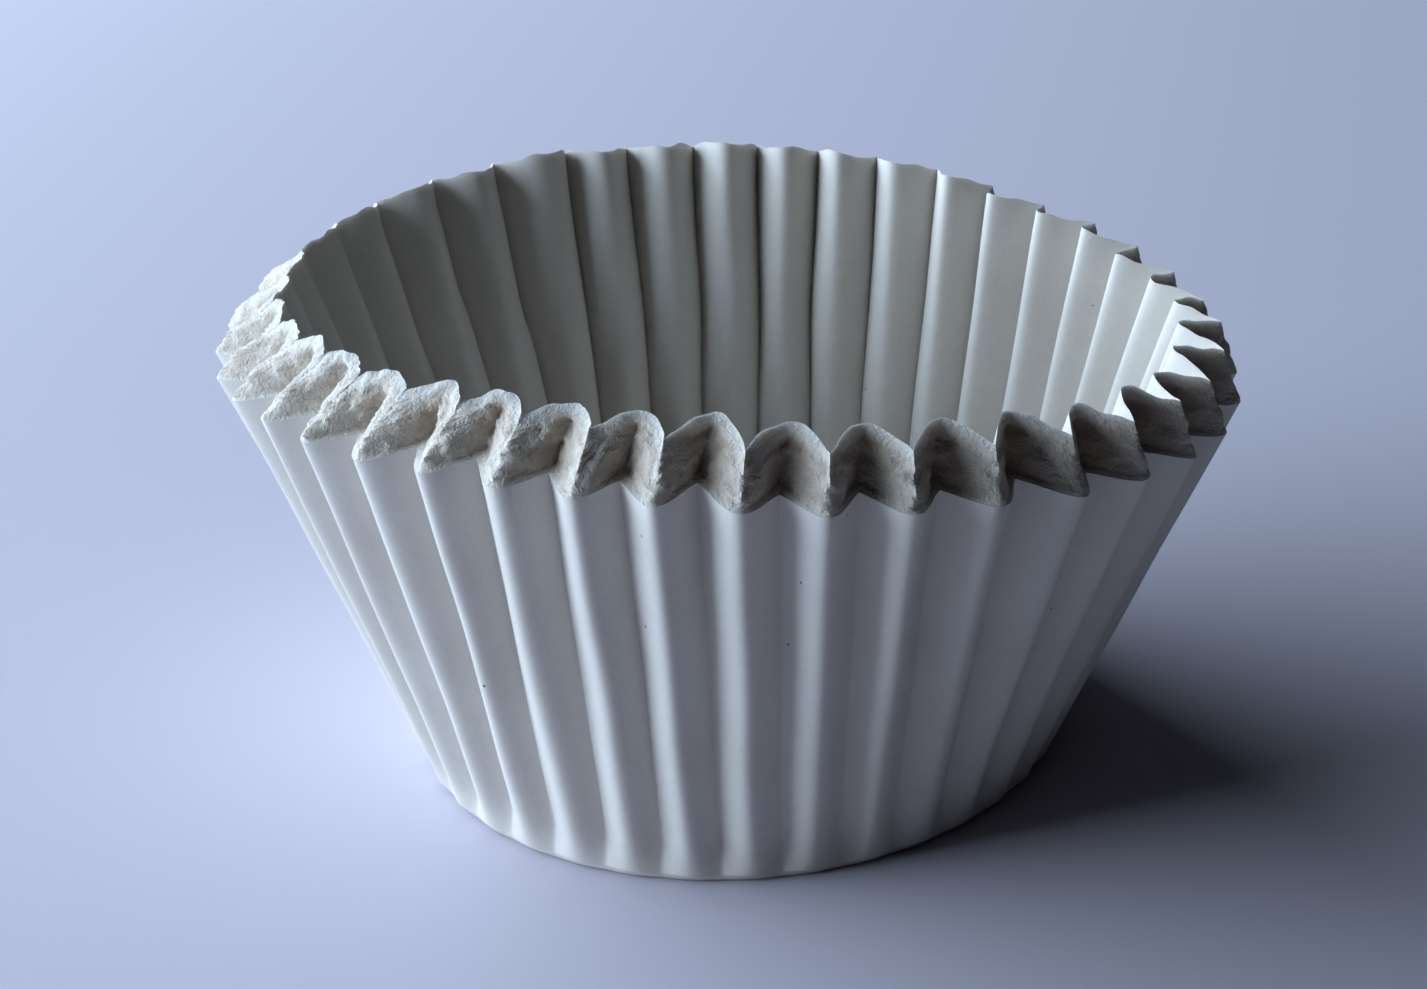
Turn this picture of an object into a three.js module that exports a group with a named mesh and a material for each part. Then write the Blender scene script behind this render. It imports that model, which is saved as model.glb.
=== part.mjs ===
// Paper candy cup: round sheets of white paper, nested and pressed together into one fluted cup.
// The pressed sheets are one solid. Their cut edges form the stepped band round the rim.
// Units are millimetres, +Z is up, and the origin is the middle of the flat foot.
import * as THREE from 'three';

// Sheets
const sheetRadius = 39.7;
const stackThickness = 1.4;
const bandSteps = 4;

// Outermost sheet
const footRadius = 17.4;
const outerFlare = THREE.MathUtils.degToRad(19.6);
const outerFootRound = 0.7;

// Innermost sheet, which stands steeper and further in by the thickness of the stack
const innerSteeper = THREE.MathUtils.degToRad(1.6);
const insetForThickness = 0.7;
const innerFootRound = 1;
const innerShiftX = 0.39;

// Flutes, which deepen from the foot to the rim
const fluteCount = 39;
const firstInwardFold = THREE.MathUtils.degToRad(-1.9);
const rimFluteDepth = 1.9;
const innerExtraDepth = 0.2;
const outerFootFluteDepth = 0.5;
const innerFootFluteDepth = 0.35;
const fluteShareOnFlat = 0.4;
const foldSharpness = 0.15;

// Hand-pressed unevenness of the round: each is a size and the direction that it points in
const rimOval = { size: 1.46, toward: THREE.MathUtils.degToRad(-30.7) };
const footOval = { size: 0.84, toward: THREE.MathUtils.degToRad(79) };
const rimSaddle = { size: 0.59, toward: THREE.MathUtils.degToRad(100) };
const pressedOffCentre = { size: 1.16, toward: THREE.MathUtils.degToRad(189) };

// Mesh fineness
const pointsPerFlute = 8;
const pointsAround = fluteCount * pointsPerFlute;
const footTurns = [0, 0.5];
const wallRows = [0.12, 0.5];

const paper = { colour: 0xf0f0ec, roughness: 0.85, metalness: 0 };

const lerp = THREE.MathUtils.lerp;

// Each sheet is given by its flare, its foot and its flutes.
const outerSheet = {
  flare: outerFlare,
  footRadius,
  footHeight: 0,
  footRound: outerFootRound,
  footFluteDepth: outerFootFluteDepth,
  rimFluteDepth,
  sharpness: -foldSharpness,
  shiftX: 0,
};
const innerSheet = {
  flare: outerFlare - innerSteeper,
  footRadius: footRadius - insetForThickness * stackThickness,
  footHeight: stackThickness,
  footRound: innerFootRound,
  footFluteDepth: innerFootFluteDepth,
  rimFluteDepth: rimFluteDepth + innerExtraDepth,
  sharpness: foldSharpness,
  shiftX: innerShiftX,
};

// Twice round the cup for an oval or a saddle.
function twofold(term, angle) {
  return term.size * Math.cos(2 * (angle - term.toward));
}

// 0 on an outward ridge and 1 on an inward fold. Sharpness is positive where ridges are crisp.
function fluteWave(angle, sharpness) {
  const phase = fluteCount * (angle - firstInwardFold);
  return (1 + Math.cos(phase)) / 2 + sharpness * Math.sin(phase) ** 2;
}

// A point of a sheet's wall: height runs from 0 at the foot to 1 at the cut edge.
// Every sheet is round, so an inward fold, which leans out less, stands higher.
function wallPoint(sheet, angle, height) {
  const offCentre = pressedOffCentre.size * Math.cos(angle - pressedOffCentre.toward);
  const slope = (sheetRadius - sheet.footRadius + offCentre) * height;
  const oval = twofold(rimOval, angle) * height;
  const foot = twofold(footOval, angle) * (1 - height);
  const depth = lerp(sheet.footFluteDepth, sheet.rimFluteDepth, height) * fluteWave(angle, sheet.sharpness);
  const radius = sheet.footRadius + slope * Math.sin(sheet.flare) + oval + foot - depth;
  const rise = slope * Math.cos(sheet.flare) + (depth * height - oval) * Math.tan(sheet.flare);
  return new THREE.Vector3(
    radius * Math.cos(angle) + sheet.shiftX * height,
    radius * Math.sin(angle),
    sheet.footHeight + rise + twofold(rimSaddle, angle) * height,
  );
}

// A point of the rounded foot: turn runs from 0 on the flat to 1 at the wall.
function footPoint(sheet, angle, turn) {
  const arc = (turn * Math.PI) / 2;
  const depth = sheet.footFluteDepth * lerp(fluteShareOnFlat, 1, turn) * fluteWave(angle, sheet.sharpness);
  const inset = sheet.footRound * (1 - Math.sin(arc));
  const radius = sheet.footRadius + twofold(footOval, angle) - inset - depth;
  const height = sheet.footHeight + sheet.footRound * (1 - Math.cos(arc));
  return new THREE.Vector3(radius * Math.cos(angle), radius * Math.sin(angle), height);
}

// A point of the rim's band: across runs from the outer cut edge to the inner one, up follows it.
function bandPoint(angle, across, up) {
  const outside = wallPoint(outerSheet, angle, 1);
  const inside = wallPoint(innerSheet, angle, 1);
  return new THREE.Vector3(
    lerp(outside.x, inside.x, across),
    lerp(outside.y, inside.y, across),
    lerp(outside.z, inside.z, up),
  );
}

function makeRing(pointAt) {
  const ring = [];
  for (let i = 0; i < pointsAround; i += 1) {
    ring.push(pointAt(firstInwardFold + (2 * Math.PI * i) / pointsAround));
  }
  return ring;
}

// Rings of one sheet's face, from the edge of the flat up to the last row below the rim.
function sheetRings(sheet) {
  const rounded = footTurns.map((turn) => makeRing((angle) => footPoint(sheet, angle, turn)));
  const wall = wallRows.map((row) => makeRing((angle) => wallPoint(sheet, angle, row)));
  return [...rounded, ...wall];
}

// Rings of the rim's band: one tread and one riser for each group of cut edges.
function bandRings() {
  const rings = [];
  for (let step = 0; step < bandSteps; step += 1) {
    const up = step / (bandSteps - 1);
    rings.push(makeRing((angle) => bandPoint(angle, step / bandSteps, up)));
    rings.push(makeRing((angle) => bandPoint(angle, (step + 1) / bandSteps, up)));
  }
  return rings;
}

// Joins the rings, outside to inside, and closes the foot and the floor at their middles.
function skin(rings) {
  const positions = [];
  const triangles = [];
  for (const ring of rings) {
    for (const point of ring) {
      positions.push(point.x, point.y, point.z);
    }
  }
  const footMiddle = positions.length / 3;
  positions.push(0, 0, 0);
  const floorMiddle = footMiddle + 1;
  positions.push(0, 0, stackThickness);
  const lastRing = (rings.length - 1) * pointsAround;
  for (let i = 0; i < pointsAround; i += 1) {
    const next = (i + 1) % pointsAround;
    triangles.push(footMiddle, next, i);
    for (let below = 0; below < lastRing; below += pointsAround) {
      const above = below + pointsAround;
      triangles.push(below + i, below + next, above + next);
      triangles.push(below + i, above + next, above + i);
    }
    triangles.push(lastRing + i, lastRing + next, floorMiddle);
  }
  const geometry = new THREE.BufferGeometry();
  geometry.setAttribute('position', new THREE.Float32BufferAttribute(positions, 3));
  geometry.setIndex(triangles);
  return geometry;
}

// Puts the origin under the middle of the cup, which the uneven rim sets.
function centre(geometry) {
  geometry.computeBoundingBox();
  const middle = geometry.boundingBox.getCenter(new THREE.Vector3());
  geometry.translate(-middle.x, -middle.y, 0);
  geometry.computeVertexNormals();
  return geometry;
}

function makeCup() {
  const rings = [...sheetRings(outerSheet), ...bandRings(), ...sheetRings(innerSheet).reverse()];
  const geometry = centre(skin(rings));
  const material = new THREE.MeshStandardMaterial({
    color: paper.colour,
    roughness: paper.roughness,
    metalness: paper.metalness,
  });
  const mesh = new THREE.Mesh(geometry, material);
  mesh.name = 'fluted_cup';
  return mesh;
}

const candyCup = new THREE.Group();
candyCup.add(makeCup());

export default candyCup;
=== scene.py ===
"""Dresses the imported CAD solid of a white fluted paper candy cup.

The cup is a pressed stack of round sheets of greaseproof paper. The wall is smooth folded paper inside
and outside, and the sheets' cut edges form a ragged band round the rim. Sizes are in metres and angles in
radians, in the CAD frame.
"""

import logging
import math
from dataclasses import dataclass, field
from enum import Enum

import bmesh
import bpy
import numpy as np
from mathutils import Matrix, Vector, noise


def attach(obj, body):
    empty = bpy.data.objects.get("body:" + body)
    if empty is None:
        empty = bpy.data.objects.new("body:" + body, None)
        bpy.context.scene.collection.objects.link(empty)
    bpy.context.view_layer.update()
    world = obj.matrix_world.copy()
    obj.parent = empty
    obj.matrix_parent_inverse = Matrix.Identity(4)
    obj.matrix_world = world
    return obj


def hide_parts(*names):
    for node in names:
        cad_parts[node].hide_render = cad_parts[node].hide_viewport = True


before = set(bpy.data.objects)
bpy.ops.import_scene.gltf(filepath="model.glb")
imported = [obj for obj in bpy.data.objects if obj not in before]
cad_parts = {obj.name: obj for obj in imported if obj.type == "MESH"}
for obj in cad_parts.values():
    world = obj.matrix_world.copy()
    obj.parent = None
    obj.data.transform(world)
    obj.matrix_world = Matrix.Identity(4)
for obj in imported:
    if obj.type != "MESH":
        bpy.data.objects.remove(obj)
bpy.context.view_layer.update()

LOG = logging.getLogger("candy_cup")
MM = 0.001
CUP_NODE = "fluted_cup"
FIBRE_DETAIL = 6.0
FIBRE_TWIST = 1.2
CLOUD_DETAIL = 3.0

Colour = tuple[float, float, float]
Value = float | np.ndarray


class Face(Enum):
    """Which face of the pressed stack a sheet shows."""

    OUTSIDE = "outside"
    INSIDE = "inside"


class Surface(Enum):
    """The cup's two surfaces, in the order of its material slots."""

    SHEET = 0
    CUT_EDGES = 1


def deselect_all() -> None:
    bpy.ops.object.select_all(action="DESELECT")


def lerp(low: Value, high: Value, share: Value) -> Value:
    """A value between low and high."""
    return low + (high - low) * share


def eased(share: float) -> float:
    """A share eased in and out, held between 0 and 1."""
    held = min(1.0, max(0.0, share))
    return held * held * (3 - 2 * held)


def share_toward(angles: np.ndarray, direction: float) -> np.ndarray:
    """How far each angle points in a direction: 1 in it, and 0 from a quarter turn away."""
    return np.clip(np.cos(angles - direction), 0, 1)


def noise_at(points: np.ndarray, length: float) -> np.ndarray:
    """The noise at each of many points.

    Args:
        points: the points.
        length: how far apart points are before their noise differs.

    Returns:
        One value from -1 to 1 for each point.
    """
    return np.array([noise.noise(Vector(point) / length) for point in points])


@dataclass(frozen=True)
class Twofold:
    """An oval or a saddle: it rises and falls twice round the cup."""

    size: float
    toward: float

    def at(self, angle: np.ndarray) -> np.ndarray:
        """The term's value at each angle."""
        return self.size * np.cos(2 * (angle - self.toward))


@dataclass(frozen=True)
class Kink:
    """A place on the inside where a fold was bent sideways by hand, from there down."""

    angle: float
    height: float
    sideways: float
    reach: float = math.radians(3.2)
    length: float = 0.035

    def shift(self, angle: np.ndarray, height: float) -> np.ndarray:
        """How far the fold turns aside, in radians, at each angle.

        Args:
            angle: the columns' angles.
            height: the row's place on the wall, 0 at the foot and 1 at the cut edge.

        Returns:
            The turn of each column.
        """
        away = (angle - self.angle + math.pi) % (2 * math.pi) - math.pi
        beside = np.exp(-((away / self.reach) ** 2))
        below = (1 - math.tanh((height - self.height) / self.length)) / 2
        return self.sideways * beside * below


@dataclass(frozen=True)
class SheetForm:
    """The form of one sheet: its flare, its foot and its flutes."""

    face: Face
    flare: float
    foot_radius: float
    foot_height: float
    foot_round: float
    foot_flute_depth: float
    rim_flute_depth: float
    shift_x: float
    crispness: float


@dataclass
class Pressing:
    """How the stack of sheets is pressed: the driving sizes that both of its faces share."""

    sheet_radius: float = 39.7 * MM
    stack_thickness: float = 1.4 * MM
    foot_radius: float = 17.4 * MM
    flare: float = math.radians(19.6)
    inner_steeper: float = math.radians(1.6)
    inset_for_thickness: float = 0.7
    inner_shift_x: float = 0.39 * MM
    flute_count: int = 39
    first_inward_fold: float = math.radians(-1.9)
    rim_flute_depth: float = 1.9 * MM
    inner_extra_depth: float = 0.2 * MM
    flute_share_on_flat: float = 0.2
    flutes_full_at: float = 0.09
    low_flute_share: float = 0.36
    rim_oval: Twofold = Twofold(1.46 * MM, math.radians(-30.7))
    foot_oval: Twofold = Twofold(0.84 * MM, math.radians(79))
    rim_saddle: Twofold = Twofold(0.59 * MM, math.radians(100))
    off_centre: float = 1.16 * MM
    off_centre_toward: float = math.radians(189)

    def outside(self) -> SheetForm:
        """Gives the outermost sheet, round on its ridges and crisp in its inward folds.

        Returns:
            The sheet's form.
        """
        return SheetForm(
            face=Face.OUTSIDE,
            flare=self.flare,
            foot_radius=self.foot_radius,
            foot_height=0.0,
            foot_round=0.4 * MM,
            foot_flute_depth=0.14 * MM,
            rim_flute_depth=self.rim_flute_depth,
            shift_x=0.0,
            crispness=0.55,
        )

    def inside(self) -> SheetForm:
        """Gives the innermost sheet, which stands steeper and further in by the thickness of the stack.

        Returns:
            The sheet's form.
        """
        return SheetForm(
            face=Face.INSIDE,
            flare=self.flare - self.inner_steeper,
            foot_radius=self.foot_radius - self.inset_for_thickness * self.stack_thickness,
            foot_height=self.stack_thickness,
            foot_round=1.0 * MM,
            foot_flute_depth=0.2 * MM,
            rim_flute_depth=self.rim_flute_depth + self.inner_extra_depth,
            shift_x=self.inner_shift_x,
            crispness=0.8,
        )


@dataclass
class Unevenness:
    """The small differences between one flute and the next, the same on each run.

    The wander follows the noise along a ring with the radius wander_ring, which climbs by wander_waves from
    the foot to the rim. The tips differ only near the rim, and the higher tip_power is, the nearer to it.
    """

    flute_count: int
    seed: int = 7
    turn: float = math.radians(0.55)
    depth_share: float = 0.09
    tip_height: float = 0.2 * MM
    tip_power: int = 6
    wall_ripple: float = 0.07 * MM
    ripple_length: float = 5.0 * MM
    wander: float = math.radians(0.8)
    wander_waves: float = 2.4
    wander_ring: float = 5.0
    turns: np.ndarray = field(init=False)
    depths: np.ndarray = field(init=False)
    tips: np.ndarray = field(init=False)

    def __post_init__(self) -> None:
        """Draws one value of each kind for every flute."""
        draw = np.random.default_rng(self.seed)
        self.turns = draw.uniform(-1, 1, self.flute_count)
        self.depths = draw.uniform(-1, 1, self.flute_count)
        self.tips = draw.uniform(-1, 1, self.flute_count)

    def between(self, values: np.ndarray, flute: np.ndarray) -> np.ndarray:
        """Eases from one flute's value to the next.

        Args:
            values: one value for each flute.
            flute: each column's place, counted in flutes.

        Returns:
            The value at each column.
        """
        first = np.floor(flute).astype(int)
        ease = (1 - np.cos(math.pi * (flute - first))) / 2
        return lerp(values[first % len(values)], values[(first + 1) % len(values)], ease)

    def strays(self, angles: np.ndarray, height: float) -> np.ndarray:
        """How far the flutes stray sideways between the foot and the rim.

        Args:
            angles: the columns' angles.
            height: the row's place on the wall, 0 at the foot and 1 at the cut edge.

        Returns:
            The turn of each column, which is nothing at the foot and at the rim.
        """
        up = np.full(len(angles), height * self.wander_waves)
        ring = np.stack([self.wander_ring * np.cos(angles), self.wander_ring * np.sin(angles), up], 1)
        return self.wander * math.sin(math.pi * height) * noise_at(ring, 1.0)


@dataclass
class PressedSheets:
    """The outermost and the innermost sheet of the stack, laid out in columns round the cup."""

    pressing: Pressing = field(default_factory=Pressing)
    points_per_flute: int = 24
    tip_bluntness: float = 0.56
    sharper_tips: float = 0.55
    sharper_toward: float = math.radians(-5)
    tip_lean: float = math.radians(1.25)
    tip_lean_toward: float = math.radians(242)
    tip_lean_power: int = 3
    floor_crease: float = 0.12 * MM
    floor_crease_power: int = 6
    floor_dent: float = 0.09 * MM
    floor_dent_length: float = 6.0 * MM
    kinks: tuple[Kink, ...] = (
        Kink(angle=math.radians(140), height=0.64, sideways=math.radians(-0.6)),
        Kink(angle=math.radians(132), height=0.71, sideways=math.radians(-0.8)),
        Kink(angle=math.radians(122), height=0.62, sideways=math.radians(-0.9)),
        Kink(angle=math.radians(116), height=1.5, sideways=math.radians(-1.5), reach=math.radians(3)),
    )
    uneven: Unevenness = field(init=False)
    columns: int = field(init=False)
    flute: np.ndarray = field(init=False)
    angles: np.ndarray = field(init=False)

    def __post_init__(self) -> None:
        """Works out the columns: each one's angle, and its place counted in flutes."""
        self.uneven = Unevenness(self.pressing.flute_count)
        self.columns = self.pressing.flute_count * self.points_per_flute
        self.flute = np.arange(self.columns) / self.points_per_flute
        self.angles = self.pressing.first_inward_fold + 2 * math.pi * self.flute / self.pressing.flute_count

    def wave(self, form: SheetForm) -> np.ndarray:
        """The flute's wave at each column: 1 on an inward fold and 0 on an outward ridge.

        Args:
            form: the sheet, whose folds are crisp on the side where the stack bends most tightly.

        Returns:
            The wave at each column.
        """
        phase = 2 * math.pi * self.flute
        smooth = (1 + np.cos(phase)) / 2
        if form.face is Face.OUTSIDE:
            crisp = 1 - np.abs(np.sin(phase / 2))
        else:
            sharper = self.sharper_tips * share_toward(self.angles, self.sharper_toward)
            crisp = np.abs(np.cos(phase / 2)) ** (self.tip_bluntness + sharper)
        return lerp(smooth, crisp, form.crispness)

    def turned(self, form: SheetForm, height: float) -> np.ndarray:
        """The angle of each column, with each flute a little out of place.

        Args:
            form: the sheet.
            height: the row's place on the wall, 0 at the foot and 1 at the cut edge.

        Returns:
            The columns' angles on that row.
        """
        turn = self.uneven.between(self.uneven.turns, self.flute) * self.uneven.turn
        angle = self.angles + turn * height + self.uneven.strays(self.angles, height)
        if form.face is Face.INSIDE:
            leaning = share_toward(self.angles, self.tip_lean_toward)
            angle = angle + self.tip_lean * leaning * self.wave(form) * height**self.tip_lean_power
            for kink in self.kinks:
                angle = angle + kink.shift(self.angles, height)
        return angle

    def flute_depth(self, form: SheetForm, height: float) -> float:
        """How deep the flutes are: they start quickly above the foot and then deepen evenly to the rim.

        Args:
            form: the sheet.
            height: the row's place, 0 at the foot and 1 at the cut edge.

        Returns:
            The depth from a ridge to a fold.
        """
        full = form.rim_flute_depth * lerp(self.pressing.low_flute_share, 1.0, height)
        return lerp(form.foot_flute_depth, full, eased(height / self.pressing.flutes_full_at))

    def wall_ring(self, form: SheetForm, height: float) -> np.ndarray:
        """One row of a wall. A fold that leans out less stands higher, because every sheet is round.

        Args:
            form: the sheet.
            height: the row's place, 0 at the foot and 1 at the cut edge.

        Returns:
            The row's points.
        """
        pressing, uneven = self.pressing, self.uneven
        angle = self.turned(form, height)
        off_centre = pressing.off_centre * np.cos(angle - pressing.off_centre_toward)
        slope = (pressing.sheet_radius - form.foot_radius + off_centre) * height
        oval = pressing.rim_oval.at(angle) * height
        foot = pressing.foot_oval.at(angle) * (1 - height)
        each = 1 + uneven.depth_share * uneven.between(uneven.depths, self.flute) * height
        depth = self.flute_depth(form, height) * each * self.wave(form)
        radius = form.foot_radius + slope * math.sin(form.flare) + oval + foot - depth
        rise = slope * math.cos(form.flare) + (depth * height - oval) * math.tan(form.flare)
        tips = uneven.tip_height * uneven.between(uneven.tips, self.flute) * height**uneven.tip_power
        z = form.foot_height + rise + pressing.rim_saddle.at(angle) * height + tips
        ring = np.stack([radius * np.cos(angle) + form.shift_x * height, radius * np.sin(angle), z], 1)
        return self.rippled(ring, angle, height)

    def rippled(self, ring: np.ndarray, angle: np.ndarray, height: float) -> np.ndarray:
        """Gives a wall its soft ripples, which fade at the foot and at the cut edge.

        Args:
            ring: the row's points.
            angle: the columns' angles.
            height: the row's place on the wall.

        Returns:
            The row's points, moved in or out.
        """
        size = self.uneven.wall_ripple * math.sin(math.pi * height)
        moves = size * noise_at(ring, self.uneven.ripple_length)
        return ring + np.stack([moves * np.cos(angle), moves * np.sin(angle), np.zeros(len(ring))], 1)

    def round_ring(self, form: SheetForm, turn: float) -> np.ndarray:
        """One row of the rounded foot.

        Args:
            form: the sheet.
            turn: the row's place, 0 on the flat and 1 at the wall.

        Returns:
            The row's points.
        """
        arc = turn * math.pi / 2
        depth = form.foot_flute_depth * lerp(self.pressing.flute_share_on_flat, 1.0, turn) * self.wave(form)
        inset = form.foot_round * (1 - math.sin(arc))
        radius = form.foot_radius + self.pressing.foot_oval.at(self.angles) - inset - depth
        z = np.full(self.columns, form.foot_height + form.foot_round * (1 - math.cos(arc)))
        return np.stack([radius * np.cos(self.angles), radius * np.sin(self.angles), z], 1)

    def flat_ring(self, form: SheetForm, share: float) -> np.ndarray:
        """One row of the flat foot or floor. The floor has soft dents, and creases that fade inward.

        Args:
            form: the sheet.
            share: the row's place, 0 at the middle and 1 at the edge of the flat.

        Returns:
            The row's points.
        """
        ring = self.round_ring(form, 0.0) * np.array([share, share, 1.0])
        if form.face is Face.INSIDE:
            ring[:, 2] += self.floor_crease * (self.wave(form) - 0.5) * share**self.floor_crease_power
            ring[:, 2] += self.floor_dent * noise_at(ring, self.floor_dent_length)
        return ring


@dataclass
class Row:
    """One row of the cup: its points, its place across the band and the share of painted shade at each
    point, for the band's inward folds.
    """

    points: np.ndarray
    across: float
    # The share of painted shade at each point, for the band's inward folds.
    hollow: np.ndarray


@dataclass
class CutEdgeBand:
    """The band of cut edges round the rim, felted, a little out of line and hollow in the folds.

    A place across the band runs from 0 at the outer cut edge to 1 at the inner one. Between felt_from and
    felt_to the edges are felted, and past felt_to they are the inner lip. Each row also carries painted
    shade for the inward folds, deepest on the side away from the window.
    """

    sheets: PressedSheets
    layers: int = 20
    tread_share: float = 0.68
    tread_slope: float = 0.36
    felt_from: float = 0.12
    felt_to: float = 0.68
    lip_share: float = 0.2
    rougher_toward: float = math.radians(195)
    rougher_side: float = 0.4
    rough_lip: float = 0.75
    fuzz_coarse: float = 0.26 * MM
    fuzz_coarse_length: float = 0.8 * MM
    fuzz_fine: float = 0.13 * MM
    fuzz_fine_length: float = 0.33 * MM
    layer_slip: float = 0.06 * MM
    least_slip: float = 0.25
    slip_length: float = 1.1 * MM
    slip_detail: float = 0.5
    slip_detail_finer: float = 3.1
    layers_apart: float = 3.7
    lip_ragged: float = 0.22 * MM
    lip_ragged_length: float = 1.1 * MM
    fold_hollow: float = 0.75 * MM
    # The next three set the painted shade in the inward folds: its least share on the side toward the
    # window, its most on the far side, and how wide it spreads across a fold.
    least_fold_shade: float = 0.3
    most_fold_shade: float = 1.4
    fold_shade_width: float = 0.6
    notch_fill: float = 1.6 * MM
    notch_fill_from: float = 0.35
    crease_drop: float = 0.32 * MM
    crease_drop_to: float = 0.5
    outer_edge: np.ndarray = field(init=False)
    inner_edge: np.ndarray = field(init=False)
    fold: np.ndarray = field(init=False)
    side: np.ndarray = field(init=False)

    def __post_init__(self) -> None:
        """Works out the two cut edges that the band joins, its folds and its rougher side."""
        outside, inside = self.sheets.pressing.outside(), self.sheets.pressing.inside()
        self.outer_edge = self.sheets.wall_ring(outside, 1.0)
        self.inner_edge = self.sheets.wall_ring(inside, 1.0)
        self.fold = self.sheets.wave(outside)
        self.side = np.cos(self.sheets.angles - self.rougher_toward)

    def felted(self, across: float) -> float:
        """How felted a row is, from 0 at both cut edges to 1 between them."""
        return eased(across / self.felt_from) * (1 - eased((across - self.felt_to) / self.lip_share))

    def on_lip(self, across: float) -> float:
        """How far a row belongs to the inner lip, from 0 to 1."""
        return eased((across - self.felt_to) / (1 - self.felt_to))

    def pushes(self, ring: np.ndarray, across: float) -> np.ndarray:
        """How far each point is pushed outward by its felt, its hollow and the filling of its notch.

        Args:
            ring: the row's points.
            across: the row's place across the band.

        Returns:
            The push at each point, which is negative where it goes inward.
        """
        felted = self.felted(across)
        rough = felted * (1 + self.rougher_side * self.side)
        rougher = np.clip(self.side, 0, 1)
        if across > self.felt_to:
            rough = np.maximum(rough, self.rough_lip * rougher)
        coarse = self.fuzz_coarse * noise_at(ring, self.fuzz_coarse_length)
        fine = self.fuzz_fine * noise_at(ring, self.fuzz_fine_length)
        hollow = self.fold_hollow * (1 - across) * felted * self.fold
        notch = (1 - self.sheets.wave(self.sheets.pressing.inside())) * rougher**2
        filled = self.notch_fill * eased((across - self.notch_fill_from) / (1 - self.notch_fill_from))
        return rough * (coarse + fine) - hollow - filled * notch

    def slips(self, ring: np.ndarray, across: float, layer: int) -> np.ndarray:
        """How far each point slips up, by its layer's own waves and by the torn edge of the inner lip.

        Args:
            ring: the row's points.
            across: the row's place across the band.
            layer: which sheet's edge the row belongs to.

        Returns:
            The slip at each point, which is negative where it goes down.
        """
        along = ring / self.slip_length
        along[:, 2] = self.layers_apart * layer
        waves = noise_at(along, 1.0) + self.slip_detail * noise_at(along * self.slip_detail_finer, 1.0)
        torn = self.lip_ragged * self.on_lip(across) * noise_at(ring, self.lip_ragged_length)
        return self.layer_slip * waves * lerp(self.least_slip, 1.0, self.felted(across)) + torn

    def row(self, across: float, up: float, layer: int) -> Row:
        """One row of the band.

        Args:
            across: the row's place across the band.
            up: how far the row has climbed from the outer cut edge to the inner one.
            layer: which sheet's edge the row belongs to.

        Returns:
            The row, with its share of painted shade in the folds.
        """
        ring = lerp(self.outer_edge, self.inner_edge, across)
        ring[:, 2] = lerp(self.outer_edge[:, 2], self.inner_edge[:, 2], up)
        ring[:, 2] -= self.crease_drop * self.fold * (1 - eased(across / self.crease_drop_to))
        away = ring[:, :2] / np.linalg.norm(ring[:, :2], axis=1)[:, None]
        pushes = self.pushes(ring, across)
        slips = self.slips(ring, across, layer)
        ring[:, :2] += away * pushes[:, None]
        ring[:, 2] += slips
        # Painted shade in the inward folds: deepest on the side away from the window, and none at the cut
        # edges.
        shade = self.felted(across) * lerp(self.least_fold_shade, self.most_fold_shade, (1 - self.side) / 2)
        return Row(ring, across, np.clip(self.fold**self.fold_shade_width * shade, 0, 1))

    def rows(self) -> list[Row]:
        """Every row of the band, from the outer cut edge to the inner one, with a tread and a riser a layer.

        Returns:
            The rows in order.
        """
        found = [self.row(0.0, 0.0, 0)]
        for layer in range(self.layers):
            tread = (layer + self.tread_share) / self.layers
            low = (layer + self.tread_slope) / self.layers
            high = (layer + 1) / self.layers
            found.append(self.row(tread, low, layer))
            found.append(self.row(high, high, layer + 1))
        return found


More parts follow.
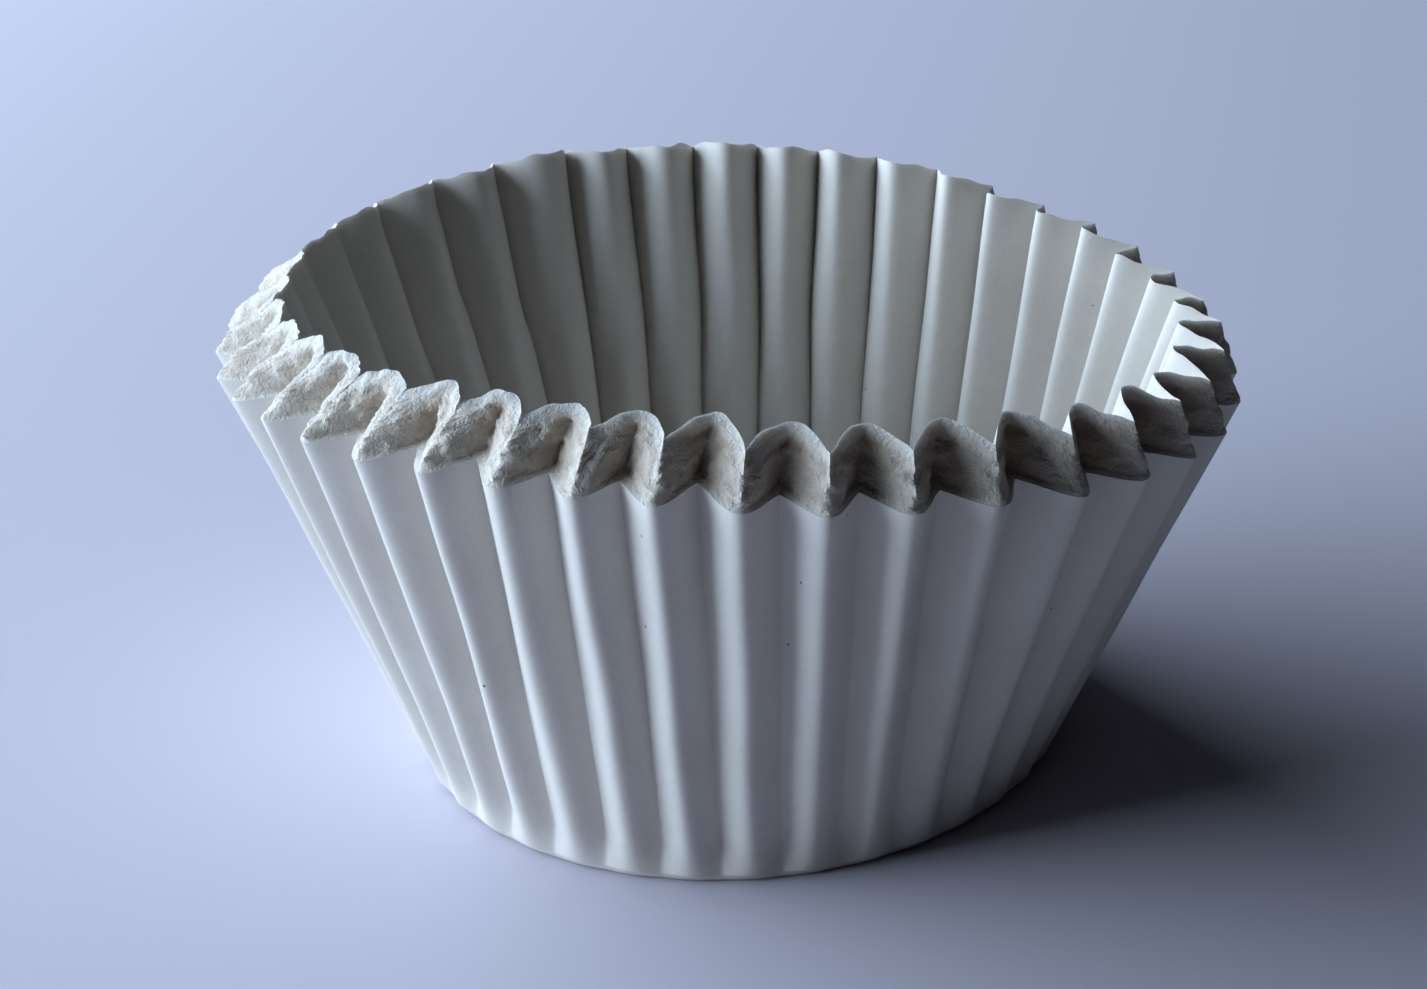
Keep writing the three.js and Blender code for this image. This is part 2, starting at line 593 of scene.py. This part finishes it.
@dataclass
class FlutedCup:
    """The whole cup: its two paper faces, its foot and the band of cut edges round its rim."""

    sheets: PressedSheets = field(default_factory=PressedSheets)
    foot_rows: tuple[float, ...] = (0.3, 0.6, 0.85)
    foot_turns: tuple[float, ...] = (0.0, 0.35, 0.7, 1.0)
    rows_towards_foot: float = 1.35
    outer_rows: int = 18
    inner_rows: int = 24
    flat_within: float = 0.01 * MM
    smooth_below: float = math.radians(55)
    band: CutEdgeBand = field(init=False)
    axis: Vector = field(init=False)

    def __post_init__(self) -> None:
        """Adds the band, and finds where the CAD solid has the cup's axis."""
        self.band = CutEdgeBand(self.sheets)
        self.axis = self.axis_of(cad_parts[CUP_NODE])

    def axis_of(self, node: bpy.types.Object) -> Vector:
        """Where a CAD node's flat foot has its middle.

        Args:
            node: the CAD node of the cup.

        Returns:
            The middle of the flat that it stands on.
        """
        points = np.array([vertex.co for vertex in node.data.vertices])
        flat = points[points[:, 2] < self.flat_within]
        middle = (flat.min(0) + flat.max(0)) / 2
        return Vector((middle[0], middle[1], 0.0))

    def face_rows(self, form: SheetForm, wall_rows: int) -> list[Row]:
        """The rows of one paper face, from the middle of its flat up to the last row below its cut edge.

        Args:
            form: the sheet.
            wall_rows: the number of rows on its wall.

        Returns:
            The rows in order.
        """
        rings = [self.sheets.flat_ring(form, share) for share in self.foot_rows]
        rings += [self.sheets.round_ring(form, turn) for turn in self.foot_turns]
        heights = np.linspace(0.0, 1.0, wall_rows + 2)[1:-1] ** self.rows_towards_foot
        rings += [self.sheets.wall_ring(form, height) for height in heights]
        across = 0.0 if form.face is Face.OUTSIDE else 1.0
        return [Row(ring, across, np.zeros(self.sheets.columns)) for ring in rings]

    def rows(self) -> list[Row]:
        """Every row of the cup, from the foot, up the outside, over the rim and down to the floor.

        Returns:
            The rows in order.
        """
        outside = self.face_rows(self.sheets.pressing.outside(), self.outer_rows)
        inside = self.face_rows(self.sheets.pressing.inside(), self.inner_rows)
        return outside + self.band.rows() + inside[::-1]

    def build(self) -> bpy.types.Object:
        """Extrudes the foot's outline row by row into the cup, and closes the foot and the floor.

        Returns:
            The cup as one closed mesh, with each face marked with its surface's material slot.
        """
        rows = self.rows()
        cup = self.first_ring()
        self.place(cup, rows[0])
        for row in rows[1:]:
            bpy.ops.mesh.extrude_edges_move()
            self.place(cup, row)
        self.close_ends(cup)
        bpy.ops.mesh.select_all(action="SELECT")
        bpy.ops.mesh.normals_make_consistent(inside=False)
        bpy.ops.object.mode_set(mode="OBJECT")
        cup.data.transform(Matrix.Translation(self.axis))
        self.sort_surfaces(cup)
        bpy.ops.object.shade_smooth_by_angle(angle=self.smooth_below)
        deselect_all()
        return cup

    def first_ring(self) -> bpy.types.Object:
        """Starts the cup as a circle in edit mode, with each vertex numbered by its column.

        Returns:
            The cup in edit mode, with its circle selected.
        """
        deselect_all()
        bpy.ops.mesh.primitive_circle_add(
            vertices=self.sheets.columns, radius=self.sheets.pressing.foot_radius
        )
        cup = bpy.context.active_object
        cup.name = "paper_cup"
        bpy.ops.object.mode_set(mode="EDIT")
        bpy.ops.mesh.select_mode(type="EDGE")
        mesh = bmesh.from_edit_mesh(cup.data)
        column = mesh.verts.layers.int.new("column")
        mesh.verts.layers.float.new("layer")
        # The hollow layer holds the share of painted shade in the band's folds.
        mesh.verts.layers.float.new("hollow")
        around = sorted(mesh.verts, key=lambda vertex: math.atan2(vertex.co.y, vertex.co.x) % math.tau)
        for number, vertex in enumerate(around):
            vertex[column] = number
        return cup

    @staticmethod
    def place(cup: bpy.types.Object, row: Row) -> None:
        """Moves the selected row of vertices to its place.

        Args:
            cup: the cup in edit mode.
            row: the row.
        """
        mesh = bmesh.from_edit_mesh(cup.data)
        column = mesh.verts.layers.int["column"]
        layer = mesh.verts.layers.float["layer"]
        hollow = mesh.verts.layers.float["hollow"]
        for vertex in mesh.verts:
            if vertex.select:
                vertex.co = row.points[vertex[column]]
                vertex[layer] = row.across
                # Stores the row's share of painted shade in the folds.
                vertex[hollow] = row.hollow[vertex[column]]
        bmesh.update_edit_mesh(cup.data)

    @staticmethod
    def close_ends(cup: bpy.types.Object) -> None:
        """Fills the two open ends, the foot and the floor, with fans about their middles.

        Args:
            cup: the cup in edit mode.
        """
        bpy.ops.mesh.select_all(action="DESELECT")
        bpy.ops.mesh.select_non_manifold(use_wire=False, use_multi_face=False, use_verts=False)
        bpy.ops.mesh.fill_holes(sides=0)
        bpy.ops.mesh.select_all(action="DESELECT")
        bpy.ops.mesh.select_mode(type="FACE")
        mesh = bmesh.from_edit_mesh(cup.data)
        for face in mesh.faces:
            face.select_set(len(face.verts) > 4)
        bmesh.update_edit_mesh(cup.data)
        bpy.ops.mesh.poke()

    @staticmethod
    def sort_surfaces(cup: bpy.types.Object) -> None:
        """Gives each face the slot of its surface: a row between the two cut edges belongs to the band.

        Args:
            cup: the finished mesh.
        """
        mesh = cup.data
        across = np.empty(len(mesh.vertices), np.float32)
        mesh.attributes["layer"].data.foreach_get("value", across)
        for face in mesh.polygons:
            places = across[list(face.vertices)]
            in_band = places.min() < 1 and places.max() > 0
            face.material_index = (Surface.CUT_EDGES if in_band else Surface.SHEET).value
        mesh.attributes.remove(mesh.attributes["column"])

    def dress(self, cup: bpy.types.Object) -> None:
        """Gives the cup its finishes and its place in the frame.

        Args:
            cup: the finished mesh.
        """
        cup.data.materials.append(SheetFinish().material())
        cup.data.materials.append(CutEdgeFinish().material())
        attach(cup, "root")
        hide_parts(CUP_NODE)


def new_material(name: str) -> tuple[bpy.types.Material, bpy.types.ShaderNode]:
    """Makes a material with its Principled BSDF and nothing else.

    Args:
        name: the finish's name.

    Returns:
        The material and its shader.
    """
    material = bpy.data.materials.new(name)
    material.use_nodes = True
    return material, material.node_tree.nodes["Principled BSDF"]


def new_group(name: str, given: tuple[str, ...], given_back: tuple[str, ...]) -> bpy.types.NodeTree:
    """Makes an empty shader group whose inputs and outputs are all plain values.

    Args:
        name: the group's name.
        given: the names of its inputs.
        given_back: the names of its outputs.

    Returns:
        The group.
    """
    group = bpy.data.node_groups.new(name, "ShaderNodeTree")
    for socket in given:
        group.interface.new_socket(socket, in_out="INPUT", socket_type="NodeSocketFloat")
    for socket in given_back:
        group.interface.new_socket(socket, in_out="OUTPUT", socket_type="NodeSocketFloat")
    return group


def fibre_group() -> bpy.types.NodeTree:
    """The paper fibres that every paper surface shares, built once.

    The group's inputs are the fibres' scale, the clouds' scale and the clouds' share. It puts out a shade
    from 0 to 1 and a height for a Bump node.

    Returns:
        The node group.
    """
    known = bpy.data.node_groups.get("paper_fibres")
    if known:
        return known
    group = new_group("paper_fibres", ("Fibre Scale", "Cloud Scale", "Cloud Share"), ("Shade", "Height"))
    nodes, links = group.nodes, group.links
    given = nodes.new("NodeGroupInput")
    place = nodes.new("ShaderNodeTexCoord")
    fibres = nodes.new("ShaderNodeTexNoise")
    fibres.inputs["Detail"].default_value = FIBRE_DETAIL
    fibres.inputs["Distortion"].default_value = FIBRE_TWIST
    clouds = nodes.new("ShaderNodeTexNoise")
    clouds.inputs["Detail"].default_value = CLOUD_DETAIL
    for texture, scale in ((fibres, "Fibre Scale"), (clouds, "Cloud Scale")):
        links.new(place.outputs["Object"], texture.inputs["Vector"])
        links.new(given.outputs[scale], texture.inputs["Scale"])
    both = nodes.new("ShaderNodeMix")
    links.new(given.outputs["Cloud Share"], both.inputs["Factor"])
    links.new(fibres.outputs["Fac"], both.inputs["A"])
    links.new(clouds.outputs["Fac"], both.inputs["B"])
    given_back = nodes.new("NodeGroupOutput")
    links.new(both.outputs["Result"], given_back.inputs["Shade"])
    links.new(fibres.outputs["Fac"], given_back.inputs["Height"])
    return group


def speck_group() -> bpy.types.NodeTree:
    """The few dark specks in the paper, built once.

    The group's inputs are the specks' scale and size and the share of places that hold one. It puts out a
    mask that is 1 in a speck.

    Returns:
        The node group.
    """
    known = bpy.data.node_groups.get("paper_specks")
    if known:
        return known
    group = new_group("paper_specks", ("Scale", "Size", "Share"), ("Mask",))
    nodes, links = group.nodes, group.links
    given = nodes.new("NodeGroupInput")
    place = nodes.new("ShaderNodeTexCoord")
    cells = nodes.new("ShaderNodeTexVoronoi")
    links.new(place.outputs["Object"], cells.inputs["Vector"])
    links.new(given.outputs["Scale"], cells.inputs["Scale"])
    draw = nodes.new("ShaderNodeSeparateColor")
    links.new(cells.outputs["Color"], draw.inputs["Color"])
    mask = nodes.new("ShaderNodeMath")
    mask.operation = "MULTIPLY"
    pairs = ((cells.outputs["Distance"], "Size"), (draw.outputs["Red"], "Share"))
    for number, (value, limit) in enumerate(pairs):
        below = nodes.new("ShaderNodeMath")
        below.operation = "LESS_THAN"
        links.new(value, below.inputs[0])
        links.new(given.outputs[limit], below.inputs[1])
        links.new(below.outputs["Value"], mask.inputs[number])
    given_back = nodes.new("NodeGroupOutput")
    links.new(mask.outputs["Value"], given_back.inputs["Mask"])
    return group


def use_group(
    material: bpy.types.Material, group: bpy.types.NodeTree, values: dict[str, float]
) -> bpy.types.ShaderNode:
    """Places a shared effect in a material with the material's own values.

    Args:
        material: the material.
        group: the shared effect.
        values: the effect's inputs by name.

    Returns:
        The group's node.
    """
    node = material.node_tree.nodes.new("ShaderNodeGroup")
    node.node_tree = group
    for name, value in values.items():
        node.inputs[name].default_value = value
    return node


def colour_ramp(
    material: bpy.types.Material, factor: bpy.types.NodeSocket, stops: dict[float, Colour]
) -> bpy.types.NodeSocket:
    """Colours a value. A new stop starts in the middle and then moves to its place.

    Args:
        material: the material.
        factor: the value to colour.
        stops: the colour at each place from 0 to 1, in rising order.

    Returns:
        The coloured output.
    """
    ramp = material.node_tree.nodes.new("ShaderNodeValToRGB")
    elements = ramp.color_ramp.elements
    while len(elements) < len(stops):
        elements.new(0.5)
    for element, (place, colour) in zip(elements, stops.items()):
        element.position = place
        element.color = (*colour, 1.0)
    material.node_tree.links.new(factor, ramp.inputs["Fac"])
    return ramp.outputs["Color"]


def laid_over(
    material: bpy.types.Material, under: bpy.types.NodeSocket, mask: bpy.types.NodeSocket, colour: Colour
) -> bpy.types.NodeSocket:
    """Lays a plain colour over another by a mask.

    Args:
        material: the material.
        under: the colour below.
        mask: where the plain colour covers it, from 0 to 1.
        colour: the plain colour.

    Returns:
        The mixed colour's output.
    """
    links = material.node_tree.links
    mix = material.node_tree.nodes.new("ShaderNodeMix")
    mix.data_type = "RGBA"
    mix.inputs["B"].default_value = (*colour, 1.0)
    links.new(mask, mix.inputs["Factor"])
    links.new(under, mix.inputs["A"])
    return mix.outputs["Result"]


def read_attribute(material: bpy.types.Material, name: str) -> bpy.types.NodeSocket:
    """Reads a value that the cup's mesh holds at each vertex.

    Args:
        material: the material.
        name: the attribute's name.

    Returns:
        The value's output.
    """
    attribute = material.node_tree.nodes.new("ShaderNodeAttribute")
    attribute.attribute_name = name
    return attribute.outputs["Fac"]


@dataclass(frozen=True)
class PaperFinish:
    """What the finishes of the paper share: fibres and clouds on a matt, slightly translucent body."""

    name: str
    fibre_scale: float
    cloud_scale: float
    roughness: float
    specular: float
    translucence: float
    translucent_depth: float
    glow: Colour
    relief: float
    relief_strength: float
    cloud_share: float = 0.6

    def start(self) -> tuple[bpy.types.Material, bpy.types.NodeSocket]:
        """Makes the material with its body, its fibres and their relief.

        Returns:
            The material and the fibres' shade.
        """
        material, shader = new_material(self.name)
        nodes, links = material.node_tree.nodes, material.node_tree.links
        shader.inputs["Roughness"].default_value = self.roughness
        shader.inputs["Specular IOR Level"].default_value = self.specular
        shader.inputs["Subsurface Weight"].default_value = self.translucence
        shader.inputs["Subsurface Radius"].default_value = self.glow
        shader.inputs["Subsurface Scale"].default_value = self.translucent_depth
        fibres = use_group(
            material,
            fibre_group(),
            {
                "Fibre Scale": self.fibre_scale,
                "Cloud Scale": self.cloud_scale,
                "Cloud Share": self.cloud_share,
            },
        )
        bump = nodes.new("ShaderNodeBump")
        bump.inputs["Distance"].default_value = self.relief
        bump.inputs["Strength"].default_value = self.relief_strength
        links.new(fibres.outputs["Height"], bump.inputs["Height"])
        links.new(bump.outputs["Normal"], shader.inputs["Normal"])
        return material, fibres.outputs["Shade"]


@dataclass(frozen=True)
class SheetFinish(PaperFinish):
    """Smooth white greaseproof paper with faint clouds and a few dark specks."""

    name: str = "greaseproof_sheet"
    fibre_scale: float = 2600.0
    cloud_scale: float = 160.0
    roughness: float = 0.58
    specular: float = 0.35
    translucence: float = 0.12
    translucent_depth: float = 0.6 * MM
    glow: Colour = (1.0, 0.95, 0.88)
    relief: float = 0.03 * MM
    relief_strength: float = 0.35
    dull: Colour = (0.62, 0.575, 0.52)
    dull_at: float = 0.35
    bright: Colour = (0.68, 0.64, 0.585)
    bright_at: float = 0.65
    speck: Colour = (0.10, 0.09, 0.07)
    speck_scale: float = 420.0
    speck_size: float = 0.034
    speck_share: float = 0.4

    def material(self) -> bpy.types.Material:
        """Makes the paper's material.

        Returns:
            The material.
        """
        material, shade = self.start()
        paper = colour_ramp(material, shade, {self.dull_at: self.dull, self.bright_at: self.bright})
        specks = use_group(
            material,
            speck_group(),
            {"Scale": self.speck_scale, "Size": self.speck_size, "Share": self.speck_share},
        )
        spotted = laid_over(material, paper, specks.outputs["Mask"], self.speck)
        shader = material.node_tree.nodes["Principled BSDF"]
        material.node_tree.links.new(spotted, shader.inputs["Base Color"])
        return material


@dataclass(frozen=True)
class CutEdgeFinish(PaperFinish):
    """The felted cut edges of the stacked sheets: matt and warmer than the sheets, with painted shade for
    the gaps between sheets and painted brown shade in the folds.
    """

    name: str = "greaseproof_cut_edges"
    fibre_scale: float = 3600.0
    cloud_scale: float = 1100.0
    roughness: float = 0.95
    specular: float = 0.15
    translucence: float = 0.2
    translucent_depth: float = 0.5 * MM
    glow: Colour = (1.0, 0.93, 0.84)
    relief: float = 0.2 * MM
    relief_strength: float = 0.8
    # Painted shade for the gaps between sheets: the darkest stop of the felt's tone, placed by the noise.
    gap_shade: Colour = (0.46, 0.39, 0.31)
    gap_shade_at: float = 0.3
    dull: Colour = (0.55, 0.49, 0.415)
    dull_at: float = 0.42
    bright: Colour = (0.64, 0.585, 0.51)
    bright_at: float = 0.54
    # Painted shade: a dark warm brown laid over the inward folds, deepest on the side away from the window.
    hollow: Colour = (0.34, 0.245, 0.165)
    lip: Colour = (0.60, 0.565, 0.51)
    outer_lip_to: float = 0.07
    inner_lip_from: float = 0.78
    inner_lip_full: float = 0.93

    def material(self) -> bpy.types.Material:
        """Makes the cut edges' material, with plain lips along both edges of the band.

        Returns:
            The material.
        """
        material, shade = self.start()
        # The felt's tone, whose darkest stop is painted shade for the gaps between sheets.
        stops = {self.gap_shade_at: self.gap_shade, self.dull_at: self.dull, self.bright_at: self.bright}
        felt = colour_ramp(material, shade, stops)
        # Lays the painted shade over the folds by the mesh's hollow share.
        with_painted_shade = laid_over(material, felt, read_attribute(material, "hollow"), self.hollow)
        lipped = laid_over(material, with_painted_shade, self.lip_mask(material), self.lip)
        shader = material.node_tree.nodes["Principled BSDF"]
        material.node_tree.links.new(lipped, shader.inputs["Base Color"])
        return material

    def lip_mask(self, material: bpy.types.Material) -> bpy.types.NodeSocket:
        """Masks the outer lip and the inner one.

        Args:
            material: the material.

        Returns:
            A mask that is 1 on the lips.
        """
        shown, hidden = (1.0, 1.0, 1.0), (0.0, 0.0, 0.0)
        stops = {
            0.0: shown,
            self.outer_lip_to: hidden,
            self.inner_lip_from: hidden,
            self.inner_lip_full: shown,
        }
        return colour_ramp(material, read_attribute(material, "layer"), stops)


@dataclass(frozen=True)
class Lamp:
    """One soft light: its name, its middle, its width and height, and its power in watts."""

    name: str
    place: tuple[float, float, float]
    size: tuple[float, float]
    power: float

    def build(self, colour: Colour, aim: tuple[float, float, float]) -> None:
        """Makes the light and turns it to the cup.

        Args:
            colour: the light's colour.
            aim: the point that it faces.
        """
        light = bpy.data.lights.new(self.name, "AREA")
        light.shape = "RECTANGLE"
        light.size, light.size_y = self.size
        light.energy = self.power
        light.color = colour
        lamp = bpy.data.objects.new(self.name, light)
        lamp.location = self.place
        facing = Vector(aim) - lamp.location
        lamp.rotation_euler = facing.to_track_quat("-Z", "Y").to_euler()
        bpy.context.scene.collection.objects.link(lamp)


@dataclass(frozen=True)
class Studio:
    """The pale table and the soft light from a window at the left."""

    table_colour: Colour = (0.515, 0.48, 0.54)
    table_roughness: float = 0.9
    table_specular: float = 0.2
    table_size: float = 3.0
    sky_colour: Colour = (0.66, 0.72, 0.86)
    sky_strength: float = 0.012
    window: Lamp = Lamp("window", place=(-0.42, 0.17, 0.23), size=(1.05, 0.38), power=10.1)
    low_window: Lamp = Lamp("low_window", place=(-0.30, -0.06, 0.035), size=(0.22, 0.06), power=0.3)
    window_colour: Colour = (0.64, 0.80, 1.0)
    aim: tuple[float, float, float] = (0.0, 0.03, 0.0)

    def build(self) -> None:
        """Makes the table, the sky, the window and a small low light that reaches under the flare."""
        self.table()
        self.sky()
        self.window.build(self.window_colour, self.aim)
        self.low_window.build(self.window_colour, self.aim)

    def table(self) -> None:
        """Makes the plain pale table that the cup stands on."""
        deselect_all()
        bpy.ops.mesh.primitive_plane_add(size=self.table_size)
        table = bpy.context.active_object
        table.name = "pale_table"
        material, shader = new_material("pale_table")
        shader.inputs["Base Color"].default_value = (*self.table_colour, 1.0)
        shader.inputs["Roughness"].default_value = self.table_roughness
        shader.inputs["Specular IOR Level"].default_value = self.table_specular
        table.data.materials.append(material)
        deselect_all()

    def sky(self) -> None:
        """Gives the scene its even, faintly blue fill."""
        world = bpy.data.worlds.new("soft_sky")
        world.use_nodes = True
        background = world.node_tree.nodes["Background"]
        background.inputs["Color"].default_value = (*self.sky_colour, 1.0)
        background.inputs["Strength"].default_value = self.sky_strength
        bpy.context.scene.world = world


@dataclass(frozen=True)
class Viewpoint:
    """The photograph's viewpoint, given from the cup's axis on the table. The sensor is in millimetres."""

    distance: float = 173.42 * MM
    elevation: float = 0.475
    pitch: float = 0.409
    yaw: float = -0.007
    roll: float = -0.044
    focal_pixels: float = 3260.3
    picture_width: int = 1427
    sensor_width: float = 36.0
    near_clip: float = 10 * MM

    def ahead(self) -> Vector:
        """The direction in which the camera looks."""
        level = math.cos(self.pitch)
        return Vector((math.sin(self.yaw) * level, math.cos(self.yaw) * level, -math.sin(self.pitch)))

    def build(self, axis: Vector) -> None:
        """Makes the camera.

        Args:
            axis: where the cup's axis meets the table.
        """
        lens = bpy.data.cameras.new("viewpoint")
        lens.sensor_width = self.sensor_width
        lens.lens = self.sensor_width * self.focal_pixels / self.picture_width
        lens.clip_start = self.near_clip
        back = Vector((0, -math.cos(self.elevation), math.sin(self.elevation)))
        ahead = self.ahead()
        level = Vector((math.cos(self.yaw), -math.sin(self.yaw), 0))
        upright = level.cross(ahead)
        right = level * math.cos(self.roll) + upright * math.sin(self.roll)
        up = upright * math.cos(self.roll) - level * math.sin(self.roll)
        camera = bpy.data.objects.new("viewpoint", lens)
        turn = Matrix((right, up, -ahead)).transposed().to_4x4()
        camera.matrix_world = Matrix.Translation(axis + back * self.distance) @ turn
        bpy.context.scene.collection.objects.link(camera)
        bpy.context.scene.camera = camera


def main() -> None:
    """Builds the cup, its finishes, the table, the lights and the camera."""
    logging.basicConfig(level=logging.INFO, format="%(name)s: %(message)s")
    bpy.context.scene.view_settings.view_transform = "Standard"
    cup = FlutedCup()
    paper_cup = cup.build()
    cup.dress(paper_cup)
    LOG.info("%s: %d faces", paper_cup.name, len(paper_cup.data.polygons))
    Studio().build()
    Viewpoint().build(cup.axis)
    LOG.info("table, sky, window and viewpoint")


if __name__ == "__main__":
    main()
